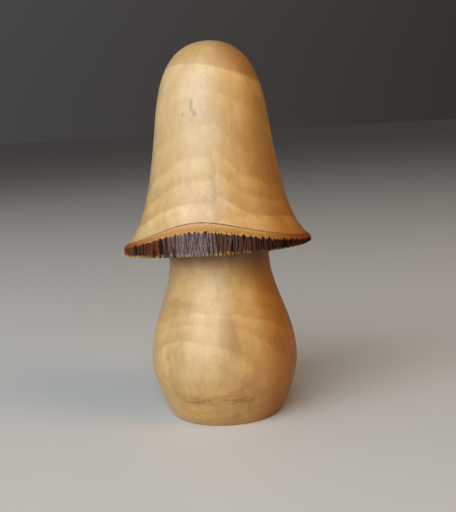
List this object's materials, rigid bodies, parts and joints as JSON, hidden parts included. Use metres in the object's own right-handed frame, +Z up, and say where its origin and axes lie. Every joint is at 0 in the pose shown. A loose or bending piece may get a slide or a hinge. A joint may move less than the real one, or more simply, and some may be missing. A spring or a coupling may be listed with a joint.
{
  "type": "turned wooden mushroom",
  "caption": "Mushroom ornament turned from one short branch: bell-shaped cap and rounded stem in one piece of pale wood, with natural bark left round the cap's rim.",
  "frame": {"origin": "centre of the foot's flat face, on the turning axis", "axes": "+Z up along the turning axis, -Y towards the front, where the bark band is tallest, +X to the right of the front"},
  "size_m": [0.0507, 0.0428, 0.1],
  "materials": {
    "wood": "satin, sanded and sealed, fine upright grain with growth-ring bands",
    "bark": "dry natural bark, rough, with upright ridges"
  },
  "bodies": {
    "root": {"turned_body": "wood", "bark_rim": "bark"}
  },
  "joints": []
}
